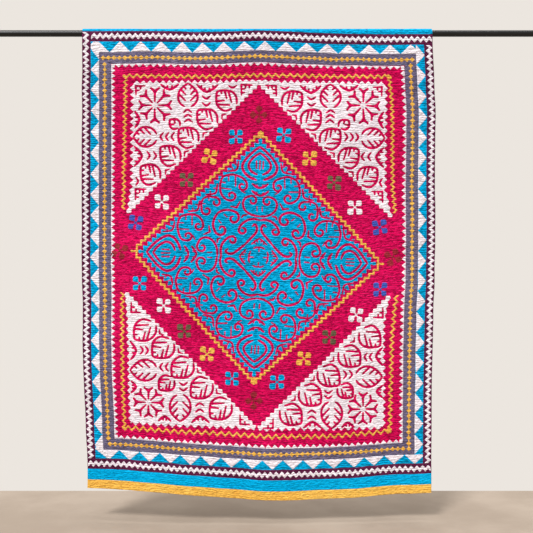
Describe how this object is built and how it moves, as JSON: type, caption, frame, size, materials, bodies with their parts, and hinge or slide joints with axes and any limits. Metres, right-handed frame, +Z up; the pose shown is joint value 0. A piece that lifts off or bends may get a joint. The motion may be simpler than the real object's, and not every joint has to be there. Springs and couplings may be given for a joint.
{
  "type": "ralli quilt on a hanging rod",
  "caption": "Pieced and appliqued ralli quilt hung face on over a plain round black rod, with a diamond medallion, cut-work corners and zigzag borders.",
  "frame": {"origin": "on the rod's axis, at the middle of its length", "axes": "+X along the rod to the right, -Y out of the quilt's front, +Z up"},
  "size_m": [2.6, 0.065, 2.0501],
  "materials": {
    "rod": "satin black paint",
    "backing_cotton": "plain undyed cotton, running stitched",
    "crimson_cotton": "matt dyed cotton, running stitched",
    "maroon_cotton": "matt dyed cotton, running stitched",
    "turquoise_cotton": "matt dyed cotton, running stitched",
    "white_cotton": "matt cotton, running stitched",
    "grey_cotton": "matt dyed cotton, running stitched",
    "yellow_cotton": "matt dyed cotton, running stitched",
    "royal_blue_cotton": "matt dyed cotton, running stitched",
    "olive_cotton": "matt dyed cotton, running stitched",
    "brown_cotton": "matt dyed cotton, running stitched",
    "stitching": "cotton sewing thread"
  },
  "bodies": {
    "root": {"rod": "rod", "quilt_ground": "backing_cotton", "band_yellow_top": "yellow_cotton", "band_blue_top": "turquoise_cotton", "band_blue_bottom": "turquoise_cotton", "band_yellow_bottom": "yellow_cotton", "zigzag_top": "maroon_cotton", "zigzag_left": "maroon_cotton", "zigzag_right": "maroon_cotton", "zigzag_bottom": "maroon_cotton", "triangles_top": "turquoise_cotton", "triangles_bottom": "turquoise_cotton", "triangles_left": "turquoise_cotton", "triangles_right": "turquoise_cotton", "chain_top": "grey_cotton", "chain_bottom": "grey_cotton", "chain_left": "grey_cotton", "chain_right": "grey_cotton", "centre_field": "crimson_cotton", "medallion": "turquoise_cotton", "corner_panel_upper_left": "white_cotton", "corner_panel_upper_right": "white_cotton", "corner_panel_lower_left": "white_cotton", "corner_panel_lower_right": "white_cotton"}
  },
  "joints": []
}
